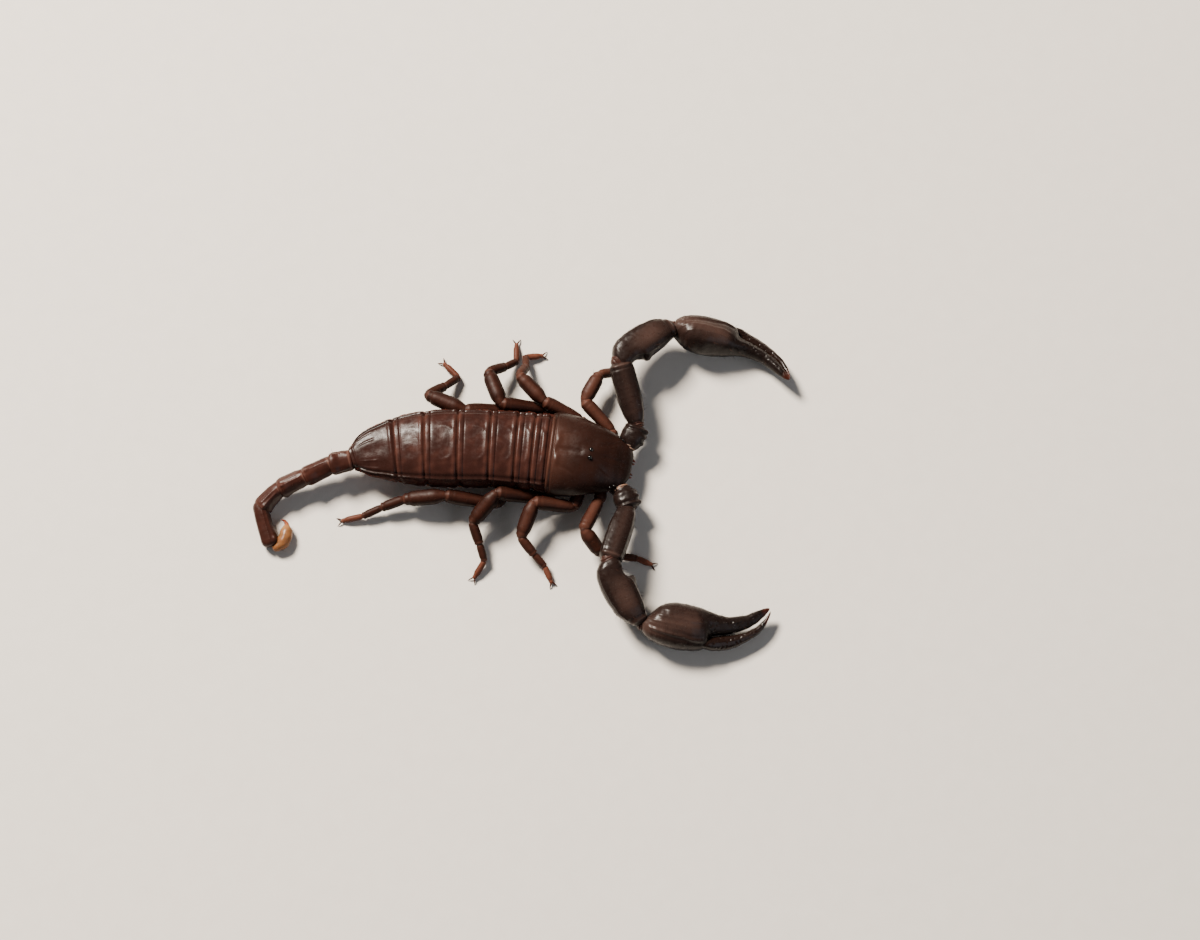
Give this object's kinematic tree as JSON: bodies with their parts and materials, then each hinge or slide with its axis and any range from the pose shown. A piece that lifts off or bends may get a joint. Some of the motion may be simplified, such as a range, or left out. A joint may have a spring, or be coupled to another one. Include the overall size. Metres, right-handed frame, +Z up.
{
  "type": "scorpion",
  "caption": "Small wood scorpion resting flat, body gently bowed, pincers held forward in two open arcs, legs folded beside the trunk and thin tail curled to one side.",
  "frame": {"origin": "middle of the whole animal seen from above, on the floor it stands on", "axes": "+X to the animal's head, +Y to its left, +Z up"},
  "size_m": [0.0268, 0.017, 0.0026],
  "materials": {
    "shield": "smooth dark brown cuticle, semi-gloss",
    "rings": "smooth brown cuticle plates, semi-gloss",
    "belly": "smooth reddish brown cuticle, satin",
    "palps": "dark brown granulated cuticle, semi-gloss",
    "fingers": "almost black hardened cuticle, glossy",
    "legs": "reddish brown cuticle, satin",
    "feet": "pale reddish cuticle, satin",
    "tail": "dark brown granulated cuticle, semi-gloss",
    "telson": "pale tan smooth cuticle, glossy",
    "eyes": "black clear lens, high gloss"
  },
  "bodies": {
    "root": {"carapace": "shield", "coxosternum": "belly", "mesosoma_1": "rings", "mesosoma_2": "rings", "mesosoma_3": "rings", "mesosoma_4": "rings", "mesosoma_5": "rings", "mesosoma_6": "rings", "mesosoma_7": "rings", "metasoma_1": "tail", "metasoma_2": "tail", "metasoma_3": "tail", "metasoma_4": "tail", "metasoma_5": "tail", "telson_vesicle": "telson", "telson_sting": "fingers", "eye_median_left": "eyes", "chelicera_left": "belly", "pectine_left": "belly", "pedipalp_left_trochanter": "palps", "pedipalp_left_femur": "palps", "pedipalp_left_patella": "palps", "pedipalp_left_manus": "palps", "pedipalp_left_finger": "fingers", "leg_left_1_femur": "legs", "leg_left_1_patella": "legs", "leg_left_1_foot": "feet", "leg_left_2_femur": "legs", "leg_left_2_patella": "legs", "leg_left_2_foot": "feet", "leg_left_3_femur": "legs", "leg_left_3_patella": "legs", "leg_left_3_foot": "feet", "leg_left_4_femur": "legs", "leg_left_4_patella": "legs", "leg_left_4_foot": "feet", "eye_median_right": "eyes", "chelicera_right": "belly", "pectine_right": "belly", "pedipalp_right_trochanter": "palps", "pedipalp_right_femur": "palps", "pedipalp_right_patella": "palps", "pedipalp_right_manus": "palps", "pedipalp_right_finger": "fingers", "leg_right_1_femur": "legs", "leg_right_1_patella": "legs", "leg_right_1_foot": "feet", "leg_right_2_femur": "legs", "leg_right_2_patella": "legs", "leg_right_2_foot": "feet", "leg_right_3_femur": "legs", "leg_right_3_patella": "legs", "leg_right_3_foot": "feet", "leg_right_4_femur": "legs", "leg_right_4_patella": "legs", "leg_right_4_foot": "feet"}
  },
  "joints": []
}
